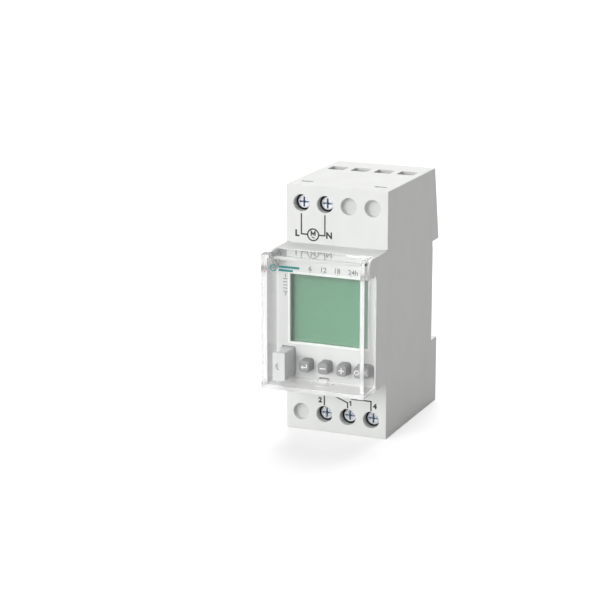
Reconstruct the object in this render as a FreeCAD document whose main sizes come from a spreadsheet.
"""DIN rail digital time switch, two modules wide, as a parametric FreeCAD document.

Frame: millimetres, +Z up, the front faces -Y and +X is to the right of someone facing the front.
The origin is the centre of the face that seats on the rail.  Every sub-part is a PartDesign body
whose sketches and lengths are bound to the cells of one spreadsheet.
"""
import FreeCAD, Part
import Sketcher
import os
import re

doc = FreeCAD.newDocument("din_rail_timer")

# --- driving dimensions ------------------------------------------------------------------------

DIMENSIONS = {
    # enclosure: depths are measured forward from the rail seat
    "width": 36, "rise": 43, "drop": 41, "side_wall": 1.2, "wall": 1.5,
    "shoulder": 44, "front": 54, "lid_front": 64.8, "mid_top": 23.5, "mid_low": -21.5,
    "back_top": 1.4, "hook_depth": 6.1, "foot_depth": 5.6, "rail_slot": 35.4,
    "rail_lip": 1.3, "lip_reach": 1.5, "lip_half": 12, "seat_half": 15.7, "seat_relief": 0.3,
    "cap_plate": 2, "cap_skin": 0.5, "groove": 0.3, "band": 1.6, "seam": 0.1, "soft": 0.3, "web": 15.5,
    "shelf": 1, "shelf_gap": 4, "shelf_front": 26, "partition": 0.3, "partition_front": 37.5,
    "post": 2, "post_x": 13, "post_z": 20,
    # hinge of the clear lid
    "pivot_y": -57.6, "pivot_z": 20.5, "ear": 3, "lid_wall": 1.4, "lid_side": 1.8, "lid_gap": 0.3,
    "heel_relief": 4.3, "heel_half": 16.4, "pin": 1.1, "pin_play": 0.06, "pin_x": 16.8,
    "pin_half": 0.7, "pin_hole": 0.4, "lug_x": 15.75, "lug_half": 0.65, "lug": 2.4,
    # catch in the lid's bottom edge, with a finger lip below it
    "catch_half": 1.6, "catch_root": 55.6, "catch_room": 0.4, "catch_top": -19.15,
    "slit_x": 3.7, "slit": 0.5, "slit_front": 57,
    "grip_half": 2.1, "grip_front": 59, "grip_rear": 57.8, "grip": 1.3,
    # terminals
    "pitch": 8.38, "screw_top": 36.9, "screw_low": -34.9, "shaft": 2.83, "shaft_floor": 36,
    "head": 2.25, "head_front": 41.6, "head_rear": 36.2, "head_soft": 0.35, "shank": 1.75,
    "tip": 15.4, "thread_play": 0.05, "drive_slot": 0.6, "drive_depth": 0.9, "drive_reach": 1.7,
    "collar": 3.7, "blind_floor": 42.2, "rim_soft": 0.25, "floor_soft": 0.6, "entry_half": 3,
    "entry_round": 0.8, "entry_near": 14.5, "entry_far": 8.5, "cage_half": 3.6, "cage_inner": 2.8,
    "cage_tall": 3.2, "cage_front": 17.3, "cage_rear": 7.1, "cage_soft": 0.6, "bar_front": 15.2,
    "bar_rear": 14, "bar_half": 2.3, "bar_reach": 14,
    # slots in the housing and the snap arms that hold the front moulding in them
    "snap_x": 13, "snap_half": 2.1, "snap_near": 38.4, "snap_far": 36.8, "snap_skin": 0.2,
    "snap_room": 1.2, "snap_arm": 1.2,
    # instrument panel
    "panel_half": 16.7, "panel_back": 52.4, "window_left": -12, "window_right": 13.8,
    "window_low": -7.5, "window_top": 15.4, "window_play": 0.08, "board_front": 47, "board_rear": 45.4,
    "glass_front": 51.3, "glass_rear": 48.5, "glass_left": -13.2, "glass_right": 16,
    "glass_low": -9, "glass_top": 17.5, "panel_post": 0.7,
    # buttons and key
    "button_z": -14.6, "button_tall": 3.9, "button_front": 57.8, "button_wide": 3.7,
    "ok_wide": 4, "button_gap": 0.15, "button_round": 1, "button_soft": 0.45,
    "flange": 0.45, "flange_front": 52.2, "flange_rear": 51.5, "stem": 1.3,
    "plunger": 1, "plunger_front": 50.7, "plunger_rear": 49.1, "switch_front": 49.9,
    "switch_half": 2.25, "bore_floor": 48.5,
    "key_left": -14.8, "key_right": -10.5, "key_low": -19, "key_top": -9.5, "key_front": 62.3,
    "key_rear": 52.6, "key_play": 0.25, "blade_left": -14, "blade_right": -11.4, "blade_low": -18,
    "blade_top": -11.2,
    # boards
    "power_front": 14, "power_rear": 12.4, "power_half": 16, "power_tall": 25,
    # rail latch
    "latch_half": 8.2, "latch_wing": 10.2, "latch_face": 1.3, "latch_step": 3, "latch_back": 5.3,
    "latch_play": 0.15, "tongue": 1.6, "tongue_back": 3.6, "spring_low": -36, "spring_top": -27,
    "spring": 1.25, "spring_wire": 0.25, "spring_y": 3.1,
}

sheet = doc.addObject("Spreadsheet::Sheet", "dims")
for row, (alias, number) in enumerate(DIMENSIONS.items(), start=1):
    sheet.set(f"A{row}", alias)
    sheet.set(f"B{row}", str(number))
    sheet.setAlias(f"B{row}", alias)
doc.recompute()


def on_sheet(formula):
    """The formula with every plain word turned into a reference to the spreadsheet."""
    return re.sub(r"[a-z_]+", lambda word: "dims." + word.group(), str(formula))


def value(formula):
    """The formula's number now, used to draw a sketch before its constraints bind it."""
    return float(sheet.evalExpression(on_sheet(formula)))


# --- building helpers --------------------------------------------------------------------------

PLANES = {"X": "YZ_Plane", "Y": "XZ_Plane", "Z": "XY_Plane"}
NORMAL_SIGN = {"X": 1, "Y": -1, "Z": 1}
PIECES = []


def piece(name):
    """A new sub-part: a body whose label names its file."""
    body = doc.addObject("PartDesign::Body", name)
    body.Label = name
    PIECES.append(body)
    return body


def rect(low_u, high_u, low_v, high_v):
    """Corners of a rectangle."""
    return [(low_u, low_v), (high_u, low_v), (high_u, high_v), (low_u, high_v)]


def draw_corners(sketch, corners):
    """A closed outline of straight edges, with each corner bound to its pair of formulas."""
    points = [FreeCAD.Vector(value(u), value(v), 0) for u, v in corners]
    for start, end in zip(points, points[1:] + points[:1]):
        sketch.addGeometry(Part.LineSegment(start, end), False)
    for edge in range(len(points)):
        sketch.addConstraint(Sketcher.Constraint("Coincident", edge, 2, (edge + 1) % len(points), 1))
    for edge, (u, v) in enumerate(corners):
        for kind, formula in (("DistanceX", u), ("DistanceY", v)):
            index = sketch.addConstraint(
                Sketcher.Constraint(kind, -1, 1, edge, 1, value(formula)))
            sketch.setExpression(f"Constraints[{index}]", on_sheet(formula))


def draw_disc(sketch, u, v, radius):
    """A circle with its centre and radius bound to formulas."""
    centre = FreeCAD.Vector(value(u), value(v), 0)
    sketch.addGeometry(Part.Circle(centre, FreeCAD.Vector(0, 0, 1), value(radius)), False)
    for kind, formula in (("DistanceX", u), ("DistanceY", v)):
        index = sketch.addConstraint(Sketcher.Constraint(kind, -1, 1, 0, 3, value(formula)))
        sketch.setExpression(f"Constraints[{index}]", on_sheet(formula))
    index = sketch.addConstraint(Sketcher.Constraint("Radius", 0, value(radius)))
    sketch.setExpression(f"Constraints[{index}]", on_sheet(radius))


def prism(body, feature, axis, shape, low, high):
    """Pad or pocket a shape from one level to another along an axis.

    A list of corners is an outline; three formulas are a circle's centre and radius.  The sketch
    lies midway between the levels, so the feature is symmetric and its direction can't be wrong.
    """
    sketch = body.newObject("Sketcher::SketchObject", "sketch")
    plane = next(p for p in body.Origin.OriginFeatures if p.Role == PLANES[axis])
    sketch.AttachmentSupport = [(plane, "")]
    sketch.MapMode = "FlatFace"
    middle = f"{NORMAL_SIGN[axis]}*(({low})+({high}))/2"
    sketch.setExpression("AttachmentOffset.Base.z", on_sheet(middle))
    if isinstance(shape, list):
        draw_corners(sketch, shape)
    else:
        draw_disc(sketch, *shape)
    solid = body.newObject(f"PartDesign::{feature}", feature.lower())
    solid.Profile = sketch
    solid.SideType = "Symmetric"
    solid.setExpression("Length", on_sheet(f"({high})-({low})"))
    sketch.Visibility = False
    return solid


def pad(body, axis, shape, low, high):
    return prism(body, "Pad", axis, shape, low, high)


def pocket(body, axis, shape, low, high):
    return prism(body, "Pocket", axis, shape, low, high)


def dress(body, kind, size_property, size, wanted):
    """Fillet or chamfer the edges of the body that pass a test."""
    doc.recompute()
    tip = body.Tip
    names = [f"Edge{i}" for i, edge in enumerate(tip.Shape.Edges, start=1) if wanted(edge)]
    feature = body.newObject(f"PartDesign::{kind}", kind.lower())
    feature.Base = (tip, names)
    feature.setExpression(size_property, on_sheet(size))
    return feature


def runs_along(axis_name):
    """A test for straight edges parallel to a named axis."""
    axis = "XYZ".index(axis_name)

    def wanted(edge):
        if not isinstance(edge.Curve, Part.Line):
            return False
        return abs(abs(edge.tangentAt(edge.FirstParameter)[axis]) - 1) < 1e-6

    return wanted


def lies_at(axis_name, formula):
    """A test for edges that lie wholly in the plane where an axis has a value."""
    axis = "XYZ".index(axis_name)
    level = value(formula)
    return lambda edge: all(abs(v.Point[axis] - level) < 1e-6 for v in edge.Vertexes)


def block(name, x, y, z):
    """A plain rectangular piece, given by its low and high formula on each axis."""
    body = piece(name)
    pad(body, "Z", rect(x[0], x[1], y[0], y[1]), z[0], z[1])
    return body


# --- places that several pieces share ----------------------------------------------------------

COLUMNS = ["-1.5*pitch", "-0.5*pitch", "0.5*pitch", "1.5*pitch"]
# name, column, row; the other three places are blind recesses
TERMINALS = [("l", 0, "top"), ("n", 1, "top"), ("2", 1, "low"), ("1", 2, "low"), ("4", 3, "low")]
BLIND = [(2, "top"), (3, "top"), (0, "low")]
ROW_Z = {"top": "screw_top", "low": "screw_low"}
BUTTONS = [("return", "-5.6", "button_wide"), ("minus", "1.05", "button_wide"),
           ("plus", "7.55", "button_wide"), ("ok", "13.8", "ok_wide")]
# posts that stand the panel off the display board
PANEL_POSTS = [("-15.6", "19.6"), ("15.6", "19.6"), ("-15.8", "-8"), ("4.3", "-18.4")]
HALF = "width/2"
INNER = "width/2-side_wall"


# --- enclosure ---------------------------------------------------------------------------------

def housing_shell():
    """Base housing: side walls with the stepped outline and hinge ears, top, bottom and back."""
    body = piece("housing_shell")
    outline = [
        ("-shoulder", "-drop"), ("-shoulder", "mid_low"), ("-front", "mid_low"),
        ("-front", "pivot_z-ear"), ("pivot_y", "pivot_z-ear"), ("pivot_y", "mid_top"),
        ("-shoulder", "mid_top"), ("-shoulder", "rise"), ("back_top", "rise"),
        ("hook_depth", "rail_slot/2"), ("0", "rail_slot/2"), ("0", "-rail_slot/2"),
        ("foot_depth", "-rail_slot/2"), ("foot_depth", "-drop"),
    ]
    pad(body, "X", outline, f"-{HALF}", HALF)
    pad(body, "X", ("pivot_y", "pivot_z", "ear"), f"-{HALF}", HALF)
    cavity = [
        ("-lid_front", "-drop+wall"), ("-wall", "-drop+wall"), ("-wall", "rail_slot/2+wall"),
        ("hook_depth-2*wall", "rail_slot/2+wall"), ("back_top-wall", "rise-wall"),
        ("-lid_front", "rise-wall"),
    ]
    pocket(body, "X", cavity, f"-({INNER})", INNER)
    # the front moulding's thin skin covers the front edges of the walls beside the terminals
    for low, high in (("mid_top", "rise+1"), ("-drop-1", "mid_low")):
        pocket(body, "X", rect("-shoulder-1", "-shoulder+cap_skin+seam", low, high),
               f"-{HALF}-1", f"{HALF}+1")
    # groove that shows between the two mouldings across the top and the bottom
    for low, high in (("rise-wall-1", "rise+1"), ("-drop-1", "-drop+wall+1")):
        pocket(body, "X", rect("-shoulder", "-shoulder+cap_skin+groove", low, high),
               f"-({INNER})", INNER)
    for side in (-1, 1):
        # blind hole for the lid's hinge pin, in the inner face of the ear
        pocket(body, "X", ("pivot_y", "pivot_z", "pin+pin_play"),
               f"{side}*({INNER}+pin_hole)-pin_hole", f"{side}*({INNER}+pin_hole)+pin_hole")
        for low, high in (("rise-wall-1", "rise+1"), ("-drop-1", "-drop+wall+1")):
            wide = (f"{side}*snap_x-snap_half", f"{side}*snap_x+snap_half")
            pocket(body, "Z", rect(*wide, "-snap_near", "-snap_far"), low, high)
        # the slots are undercut behind, which gives the snap arms room to hook in
        for low, high in (("rise-wall-1", "rise-snap_skin"), ("-drop+snap_skin", "-drop+wall+1")):
            pocket(body, "Z", rect(*wide, "-snap_near", "-snap_far+snap_room"), low, high)
    for column in COLUMNS:
        for low, high in (("rise-wall-1", "rise+1"), ("-drop-1", "-drop+wall+1")):
            pocket(body, "Z", rect(f"{column}-entry_half", f"{column}+entry_half",
                                   "-entry_near", "-entry_far"), low, high)
    dress(body, "Fillet", "Radius", "entry_round", entry_corners)
    # partitions between the terminals and posts that carry the power board
    for side in (-1, 0, 1):
        for low, high in (("screw_top-5", "rise-wall+0.1"), ("-drop+wall-0.1", "screw_low+5")):
            pad(body, "X", rect("-partition_front", "-wall+0.1", low, high),
                f"{side}*pitch-partition", f"{side}*pitch+partition")
    for x in ("-post_x", "post_x"):
        for z in ("-post_z", "post_z"):
            pad(body, "Y", (x, z, "post"), "-power_rear", "-wall+0.1")
    # shelves that close the wire chambers off, slotted for the contact bars
    for low, high in (("screw_top-shelf_gap-shelf", "screw_top-shelf_gap"),
                      ("screw_low+shelf_gap", "screw_low+shelf_gap+shelf")):
        pad(body, "Z", rect(f"-({INNER})-0.1", f"{INNER}+0.1", "-shelf_front", "-wall+0.1"),
            low, high)
        for column in COLUMNS:
            pocket(body, "Z", rect(f"{column}-bar_half-0.2", f"{column}+bar_half+0.2",
                                   "-shelf_front-1", "-bar_rear+0.2"), f"{low}-0.2", f"{high}+0.2")
    # the seat stands proud between the lip and the tongue, so only its middle bears on the rail
    for low, high in (("seat_half", "rail_slot/2"), ("-rail_slot/2", "-seat_half")):
        pocket(body, "X", rect("-seat_relief", "1", low, high), f"-{HALF}", HALF)
    # lip that hooks behind the rail's upper edge, with its chamfered nose
    pad(body, "X", [("rail_lip", "rail_slot/2+0.1"), ("hook_depth-0.4", "rail_slot/2+0.1"),
                    ("hook_depth-0.4", "rail_slot/2-0.4"), ("rail_lip+1", "rail_slot/2-lip_reach"),
                    ("rail_lip", "rail_slot/2-lip_reach")], "-lip_half", "lip_half")
    # channel of the rail latch: a wide slot for its wings behind a narrower one
    pocket(body, "Z", rect("-latch_wing-latch_play", "latch_wing+latch_play",
                           "latch_face-latch_play", "latch_step+latch_play"),
           "-drop-1", "-rail_slot/2+1")
    pocket(body, "Z", rect("-latch_half-latch_play", "latch_half+latch_play",
                           "latch_face", "foot_depth+1"), "-drop-1", "-rail_slot/2+1")
    # peg that the latch spring stands on
    pad(body, "Z", rect("-1.2", "1.2", "latch_face-latch_play-0.1", "spring_y+1.2"),
        "spring_low-1.4", "spring_low")
    dress(body, "Fillet", "Radius", "soft", outer_side_edges)
    return body


def entry_corners(edge):
    """The short upright edges at the corners of the wire entries."""
    y = edge.CenterOfMass.y
    level = min(abs(y + value("entry_near")), abs(y + value("entry_far")))
    return runs_along("Z")(edge) and level < 1e-6 and edge.Length < value("wall+0.1")


def outer_side_edges(edge):
    """The edges round the two outer side faces, apart from the rail recess and the skin's seam."""
    x, y, z = edge.CenterOfMass
    at_seam = abs(y + value("shoulder-cap_skin-seam")) < 1e-6
    in_recess = y > -1 and abs(z) < value("rail_slot/2+2")
    return abs(abs(x) - value(HALF)) < 1e-6 and not at_seam and not in_recess


def outer_skin_edges(edge):
    """The front moulding's edges that show at the corners of the enclosure."""
    x, y, z = edge.CenterOfMass
    side = abs(abs(x) - value(HALF)) < 1e-6
    end = min(abs(z - value("rise")), abs(z + value("drop"))) < 1e-6
    front = abs(y + value("shoulder")) < 1e-6
    return side + end + front >= 2


def front_cap():
    """Front moulding: terminal faces with screw shafts, blind recesses, bands and snap arms."""
    body = piece("front_cap")
    half = f"{INNER}-seam"
    for low, high in (("mid_top+seam", "rise"), ("-drop", "mid_low-seam")):
        pad(body, "Y", rect(f"-{HALF}", HALF, low, high), "-shoulder", "-shoulder+cap_skin")
    for low, high, inner_low, inner_high in (
            ("mid_top-band", "rise", "mid_top-band", "rise-wall-seam"),
            ("-drop", "mid_low+band", "-drop+wall+seam", "mid_low+band")):
        pad(body, "Y", rect(f"-({half})", half, low, high), "-shoulder", "-shoulder+cap_skin")
        pad(body, "Y", rect(f"-({half})", half, inner_low, inner_high),
            "-shoulder+cap_skin-0.1", "-shoulder+cap_plate")
    pad(body, "Z", rect(f"-({half})", half, "-front", "-shoulder+0.1"), "mid_top-band", "mid_top")
    pad(body, "Z", rect(f"-({half})", half, "-front", "-shoulder+0.1"), "mid_low", "mid_low+band")
    # webs beside the boards join the two terminal faces
    for side in (-1, 1):
        low, high = ("web", half) if side > 0 else (f"-({half})", "-web")
        pad(body, "Z", rect(low, high, "-board_rear+0.2", "-shoulder+cap_plate"),
            "mid_low", "mid_top")
    for _, column, row in TERMINALS:
        place = (COLUMNS[column], ROW_Z[row])
        pad(body, "Y", (*place, "collar"), "-shoulder+0.5", "-shaft_floor+1")
        pocket(body, "Y", (*place, "shaft"), "-shoulder-1", "-shaft_floor")
        pocket(body, "Y", (*place, "shank+0.3"), "-shoulder", "-shaft_floor+2")
    for column, row in BLIND:
        place = (COLUMNS[column], ROW_Z[row])
        pad(body, "Y", (*place, "collar"), "-shoulder+0.5", "-blind_floor+1")
        pocket(body, "Y", (*place, "shaft"), "-shoulder-1", "-blind_floor")
    for side in (-1, 1):
        wide = (f"{side}*snap_x-snap_half+0.2", f"{side}*snap_x+snap_half-0.2")
        for sign, level in ((1, "rise-wall-seam"), (-1, "-drop+wall+seam")):
            near, far = (f"{level}-snap_arm", level) if sign > 0 else (level, f"{level}+snap_arm")
            pad(body, "Z", rect(*wide, "-shoulder+1", "-snap_far-0.15"), near, far)
            pad(body, "Z", rect(*wide, "-snap_near+0.35", "-snap_far-0.35"),
                f"{level}-0.5", f"{level}+0.5")
    dress(body, "Fillet", "Radius", "floor_soft", round_at("-blind_floor"))
    dress(body, "Fillet", "Radius", "rim_soft", round_at("-shoulder"))
    dress(body, "Fillet", "Radius", "soft", outer_skin_edges)
    return body


def round_at(formula):
    """A test for whole circles facing the front at a depth, such as the rims of the shafts."""
    at_depth = lies_at("Y", formula)
    return lambda edge: len(edge.Vertexes) == 1 and at_depth(edge)


def front_panel():
    """Instrument panel: display opening, button holes, key port, catch slot and board posts."""
    body = piece("front_panel")
    pad(body, "Y", rect("-panel_half", "panel_half", "mid_low+band+seam", "mid_top-band-seam"),
        "-front", "-panel_back")
    # relief that the lid's heel turns in
    pocket(body, "X", ("pivot_y", "pivot_z", "heel_relief"), "-width", "width")
    pocket(body, "Y", rect("window_left", "window_right", "window_low", "window_top"),
           "-front-1", "-panel_back+1")
    for _, x, wide in BUTTONS:
        pocket(body, "Y", rect(f"{x}-{wide}/2-button_gap", f"{x}+{wide}/2+button_gap",
                               "button_z-button_tall/2-button_gap",
                               "button_z+button_tall/2+button_gap"),
               "-front-1", "-panel_back+1")
    pocket(body, "Y", rect("key_left-key_play", "key_right+key_play",
                           "key_low-key_play", "key_top+key_play"), "-front-1", "-panel_back+1")
    pocket(body, "Y", rect("-catch_half-0.2", "catch_half+0.2", "mid_low", "catch_top+catch_room"),
           "-front-1", "-panel_back+1")
    for x, z in PANEL_POSTS:
        pad(body, "Y", (x, z, "panel_post"), "-panel_back-0.1", "-board_front")
    dress(body, "Fillet", "Radius", "button_round", panel_corners)
    return body


def panel_corners(edge):
    """The four short edges through the panel at each button hole's corners."""
    if not runs_along("Y")(edge):
        return False
    x, _, z = edge.CenterOfMass
    level = abs(abs(z - value("button_z")) - value("button_tall/2+button_gap")) < 1e-6
    return level and x > value("key_right+1")


def lid():
    """Clear lid: a box open at the back, hinged in the ears, with a catch at the bottom."""
    body = piece("clear_cover")
    pad(body, "X", rect("-lid_front", "-front-lid_gap", "mid_low", "mid_top"), f"-{HALF}", HALF)
    pocket(body, "X", rect("-lid_front+lid_wall", "-front+1", "mid_low+lid_wall", "mid_top-lid_wall"),
           f"-({HALF}-lid_side)", f"{HALF}-lid_side")
    # the top ends short of the shoulder, so that it clears it as the lid swings up
    pocket(body, "X", rect("-56.2", "-front+1", "pivot_z", "mid_top+1"), f"-{HALF}-1", f"{HALF}+1")
    for side in (-1, 1):
        # room for the ear in the side wall
        span = (f"{side}*({HALF})-lid_side-0.2", f"{side}*({HALF})+lid_side+0.2")
        pocket(body, "X", ("pivot_y", "pivot_z", "ear+lid_gap"), *span)
        pocket(body, "X", rect("pivot_y", "-front+1", "pivot_z-ear-lid_gap", "mid_top+1"), *span)
        pocket(body, "X", rect("pivot_y-ear-2*lid_gap", "-front+1", "pivot_z", "mid_top+1"), *span)
    # between the ears the top reaches back to a sloping rear edge
    heel = [("-60", "mid_top-lid_wall"), ("pivot_y+3.35", "mid_top-lid_wall"),
            ("pivot_y+2.6", "mid_top"), ("-60", "mid_top")]
    pad(body, "X", heel, "-heel_half", "heel_half")
    for side in (-1, 1):
        # lug inside the ear, joined to the top, with the hinge pin on its outer face
        inner, outer = f"{side}*lug_x-lug_half", f"{side}*lug_x+lug_half"
        pad(body, "X", ("pivot_y", "pivot_z", "lug"), inner, outer)
        pad(body, "X", rect("pivot_y-lug", "pivot_y+lug/2", "pivot_z", "mid_top-0.2"), inner, outer)
        pad(body, "X", ("pivot_y", "pivot_z", "pin"),
            f"{side}*pin_x-pin_half", f"{side}*pin_x+pin_half")
    # two notches in the rear edge of the bottom wall give the catch some spring
    for side in (-1, 1):
        pocket(body, "Z", rect(f"{side}*slit_x-slit/2", f"{side}*slit_x+slit/2",
                               "-slit_front", "-front+1"), "mid_low-1", "mid_low+lid_wall+1")
    pad(body, "Z", rect("-catch_half", "catch_half", "-catch_root", "-front-lid_gap"),
        "mid_low+lid_wall-0.1", "catch_top")
    pad(body, "Z", rect("-catch_half", "catch_half", "-catch_root", "-panel_back-0.2"),
        "catch_top-0.3", "catch_top")
    # finger lip under the catch
    pad(body, "Z", rect("-grip_half", "grip_half", "-grip_front", "-grip_rear"),
        "mid_low-grip", "mid_low+0.1")
    return body


# --- rail latch --------------------------------------------------------------------------------

def latch():
    """Sliding foot: wings in the housing's channel, tongue behind the rail, pull end below."""
    body = piece("din_latch")
    top = "-rail_slot/2-0.2"
    low = "-drop+0.5"
    pad(body, "Z", rect("-latch_wing", "latch_wing", "latch_face", "latch_step"), low, top)
    pad(body, "Z", rect("-latch_half", "latch_half", "latch_step-0.1", "latch_back"), low, top)
    tongue = [("latch_face", f"{top}-0.1"), ("latch_face", "-rail_slot/2+tongue"),
              ("latch_face+0.8", "-rail_slot/2+tongue"), ("tongue_back+0.9", "-rail_slot/2+0.4"),
              ("tongue_back+0.9", f"{top}-0.1")]
    pad(body, "X", tongue, "-latch_half+0.6", "latch_half-0.6")
    # window for the spring and its peg
    pocket(body, "Z", rect("-1.6", "1.6", "latch_face-1", "spring_y+1.4"),
           "spring_low-2.2", "spring_top+0.05")
    # slot that a screwdriver pulls on
    pocket(body, "Y", rect("-3", "3", "-drop+1.6", "-drop+3"), "latch_face-1", "latch_back+1")
    return body


def latch_spring():
    """Compression spring between the housing's peg and the latch."""
    turns = 7
    low, top = value("spring_low+spring_wire"), value("spring_top-spring_wire")
    path = Part.makeHelix((top - low) / turns, top - low, value("spring-spring_wire"))
    start = FreeCAD.Vector(value("spring-spring_wire"), 0, 0)
    section = Part.Wire(Part.makeCircle(value("spring_wire"), start, FreeCAD.Vector(0, 1, 0)))
    coil = Part.Wire(path).makePipeShell([section], True, True)
    feature = doc.addObject("Part::Feature", "latch_spring")
    feature.Label = "latch_spring"
    feature.Shape = coil
    feature.Placement = FreeCAD.Placement(FreeCAD.Vector(0, value("spring_y"), low),
                                          FreeCAD.Rotation())
    PIECES.append(feature)
    return feature


# --- terminals ---------------------------------------------------------------------------------

def terminal(name, column, row):
    """One connection: screw, the lift cage on its thread and the fixed bar inside the cage."""
    x, z = COLUMNS[column], ROW_Z[row]
    inward = -1 if row == "top" else 1
    screw = piece(f"terminal_screw_{name}")
    pad(screw, "Y", (x, z, "head"), "-head_front", "-head_rear")
    dress(screw, "Fillet", "Radius", "head_soft", lies_at("Y", "-head_front"))
    pad(screw, "Y", (x, z, "shank"), "-head_rear-0.1", "-tip")
    # cross recess, deepest in the middle
    for reach_x, reach_z in (("drive_reach", "drive_slot/2"), ("drive_slot/2", "drive_reach")):
        pocket(screw, "Y", rect(f"{x}-{reach_x}", f"{x}+{reach_x}",
                                f"{z}-{reach_z}", f"{z}+{reach_z}"),
               "-head_front-1", "-head_front+drive_depth")
    pocket(screw, "Y", (x, z, "drive_slot"), "-head_front-1", "-head_front+1.6*drive_depth")

    cage = piece(f"terminal_cage_{name}")
    pad(cage, "Z", rect(f"{x}-cage_half", f"{x}+cage_half", "-cage_front", "-cage_rear"),
        f"{z}-cage_tall", f"{z}+cage_tall")
    pocket(cage, "Z", rect(f"{x}-cage_inner", f"{x}+cage_inner", "-cage_front+1.8", "-entry_far"),
           f"{z}-cage_tall-1", f"{z}+cage_tall+1")
    pocket(cage, "Y", (x, z, "shank+thread_play"), "-cage_front-1", "-cage_front+2")
    dress(cage, "Fillet", "Radius", "cage_soft", outer_cage_edges)

    bar = piece(f"contact_bar_{name}")
    near, far = f"{z}+{-inward}*cage_tall", f"{z}+{inward}*bar_reach"
    low, high = (far, near) if inward < 0 else (near, far)
    pad(bar, "Y", rect(f"{x}-bar_half", f"{x}+bar_half", low, high), "-bar_front", "-bar_rear")


def outer_cage_edges(edge):
    """The four long outer edges of a cage, bent from strip."""
    if not runs_along("Z")(edge):
        return False
    y = edge.CenterOfMass.y
    return min(abs(y + value("cage_front")), abs(y + value("cage_rear"))) < 1e-6


# --- display and controls ----------------------------------------------------------------------

def display():
    """Window, liquid crystal cell, reflector, carrier and the two contact strips."""
    window = block("display_window", ("window_left-0.8", "window_right+0.8"),
                   ("-panel_back+0.05", "-glass_front-0.1"), ("window_low-0.8", "window_top+0.8"))
    dress(window, "Fillet", "Radius", "0.6", runs_along("Y"))
    # the window's raised middle fills the opening, nearly flush with the panel
    pad(window, "Y", rect("window_left+window_play", "window_right-window_play",
                          "window_low+window_play", "window_top-window_play"),
        "-front+0.15", "-panel_back+0.1")
    block("lcd_glass", ("glass_left", "glass_right"), ("-glass_front", "-glass_rear"),
          ("glass_low", "glass_top"))
    block("lcd_reflector", ("-12.8", "15.6"), ("-glass_rear+0.05", "-glass_rear+0.35"),
          ("-6.6", "15"))
    block("zebra_strip_upper", ("-12.6", "15.4"), ("-glass_rear", "-board_front"), ("15.3", "17.1"))
    block("zebra_strip_lower", ("-12.6", "15.4"), ("-glass_rear", "-board_front"), ("-8.7", "-6.9"))
    carrier = piece("lcd_carrier")
    pad(carrier, "Y", rect("-14.2", "16.6", "-10", "18.4"), "-glass_front", "-board_front")
    pocket(carrier, "Y", rect("glass_left-0.1", "glass_right+0.1", "glass_low-0.1", "glass_top+0.1"),
           "-glass_front-1", "-board_front+1")


def button(name, x, wide):
    """A push button with its retaining flange, and the switch it works."""
    body = piece(f"button_{name}")
    pad(body, "Y", rect(f"{x}-{wide}/2", f"{x}+{wide}/2",
                        "button_z-button_tall/2", "button_z+button_tall/2"),
        "-button_front", "-flange_front")
    dress(body, "Fillet", "Radius", "button_round", runs_along("Y"))
    dress(body, "Fillet", "Radius", "button_soft", lies_at("Y", "-button_front"))
    pad(body, "Y", rect(f"{x}-{wide}/2-flange", f"{x}+{wide}/2+flange",
                        "button_z-button_tall/2-flange", "button_z+button_tall/2+flange"),
        "-flange_front-0.05", "-flange_rear")
    pad(body, "Y", (x, "button_z", "stem"), "-flange_rear-0.1", "-plunger_front")

    plunger = piece(f"tact_plunger_{name}")
    pad(plunger, "Y", (x, "button_z", "plunger"), "-plunger_front", "-plunger_rear")

    switch = piece(f"tact_switch_{name}")
    pad(switch, "Y", rect(f"{x}-switch_half", f"{x}+switch_half",
                          "button_z-switch_half", "button_z+switch_half"),
        "-switch_front", "-board_front")
    pocket(switch, "Y", (x, "button_z", "plunger+thread_play"), "-switch_front-1", "-bore_floor")


def data_key():
    """Plug-in key with a finger dimple, and the socket behind the panel that it enters."""
    body = piece("data_key")
    pad(body, "Y", rect("key_left", "key_right", "key_low", "key_top"), "-key_front", "-key_rear")
    dress(body, "Fillet", "Radius", "0.4", runs_along("Y"))
    pad(body, "Y", rect("blade_left", "blade_right", "blade_low", "blade_top"),
        "-key_rear-0.1", "-48.8")
    pocket(body, "Y", ("(key_left+key_right)/2", "-14.2", "1.1"), "-key_front-1", "-key_front+0.6")
    pocket(body, "Y", rect("key_left-1", "key_left+1.5", "key_top-0.9", "key_top+1"),
           "-key_front+0.9", "-key_front+4.5")

    socket = piece("key_socket")
    pad(socket, "Y", rect("-15.4", "-10", "-19.2", "-10.4"), "-51.9", "-board_front")
    pocket(socket, "Y", rect("blade_left-0.15", "blade_right+0.15", "blade_low-0.15",
                             "blade_top+0.15"), "-53", "-48.3")


# --- electronics -------------------------------------------------------------------------------

def boards():
    """Display board, power board and the row of pins that joins them."""
    block("display_board", ("-16.4", "16.4"), ("-board_front", "-board_rear"), ("-19.4", "21"))
    block("power_board", ("-power_half", "power_half"), ("-power_front", "-power_rear"),
          ("-power_tall", "power_tall"))
    header = piece("board_header")
    pad(header, "Y", rect("-4.2", "-1.8", "5", "20.2"), "-16.6", "-power_front")
    for pin in range(6):
        pad(header, "Y", ("-3", f"6.3+2.54*{pin}", "0.32"), "-board_rear+0.02", "-16.5")


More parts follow.
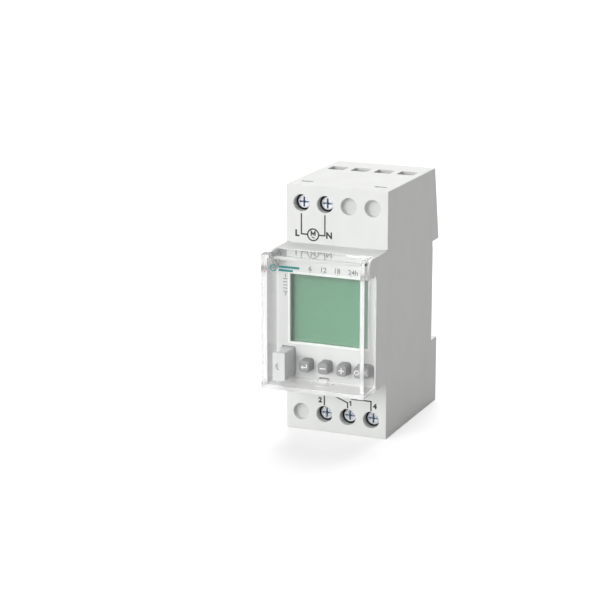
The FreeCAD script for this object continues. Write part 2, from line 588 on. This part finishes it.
def parts_on_power_board():
    """Relay, capacitors, surge and fuse parts and the rectifier, standing on the power board."""
    relay = block("relay", ("-15.6", "-5.4"), ("-29.6", "-power_front"), ("-20.5", "-0.5"))
    dress(relay, "Fillet", "Radius", "0.5", runs_along("Y"))
    drop = block("dropper_capacitor", ("6", "15"), ("-31", "-power_front"), ("-3", "15"))
    dress(drop, "Fillet", "Radius", "0.6", runs_along("Y"))
    smoothing = piece("smoothing_capacitor")
    pad(smoothing, "Y", ("10.6", "-14", "5"), "-30", "-power_front")
    dress(smoothing, "Fillet", "Radius", "0.6", lies_at("Y", "-30"))
    varistor = piece("varistor")
    pad(varistor, "X", ("-20.5", "8", "5"), "-15", "-11")
    pad(varistor, "Y", ("-13", "8", "0.4"), "-15.6", "-power_front")
    fuse = piece("fuse_resistor")
    pad(fuse, "X", ("-17", "20.5", "1.6"), "3", "13")
    pad(fuse, "Y", ("8", "20.5", "0.4"), "-15.5", "-power_front")
    block("bridge_rectifier", ("-1.5", "3.5"), ("-17.5", "-power_front"), ("-18", "-11"))


def parts_on_display_board():
    """Microcontroller, clock crystal and backup cell on the back of the display board."""
    block("microcontroller", ("-15.2", "-6.2"), ("-board_rear", "-44"), ("-4", "5"))
    crystal = piece("clock_crystal")
    pad(crystal, "Z", ("-11", "-44.3", "1.05"), "8", "14")
    cell = piece("backup_cell")
    pad(cell, "Y", ("5", "-3", "10"), "-board_rear+0.3", "-41.9")
    pad(cell, "Y", ("5", "-3", "8.6"), "-board_rear+0.02", "-board_rear+0.4")
    clip = piece("cell_clip")
    pad(clip, "X", [("-board_rear", "-14.2"), ("-41.5", "-14.2"), ("-41.5", "8.2"),
                    ("-board_rear", "8.2"), ("-board_rear", "7.7"), ("-41.85", "7.7"),
                    ("-41.85", "-13.7"), ("-board_rear", "-13.7")], "3", "7")


# --- build, check and write --------------------------------------------------------------------

def check():
    """Stop if any feature failed or any sub-part holds no valid solid."""
    doc.recompute()
    for item in doc.Objects:
        if {"Invalid", "Error"} & set(item.State):
            raise RuntimeError(f"{item.Name} of {item.getParentGeoFeatureGroup()} failed")
    for item in PIECES:
        shape = item.Shape
        if shape.isNull() or not shape.isValid() or not shape.Solids:
            raise RuntimeError(f"{item.Label} is not a valid solid")


def main():
    housing_shell()
    front_cap()
    front_panel()
    lid()
    latch()
    latch_spring()
    for name, column, row in TERMINALS:
        terminal(name, column, row)
    display()
    for name, x, wide in BUTTONS:
        button(name, x, wide)
    data_key()
    boards()
    parts_on_power_board()
    parts_on_display_board()
    check()
    os.makedirs("parts", exist_ok=True)
    for item in PIECES:
        item.Shape.exportStep(f"parts/{item.Label}.step")
    print(len(PIECES), "sub-parts written")


main()
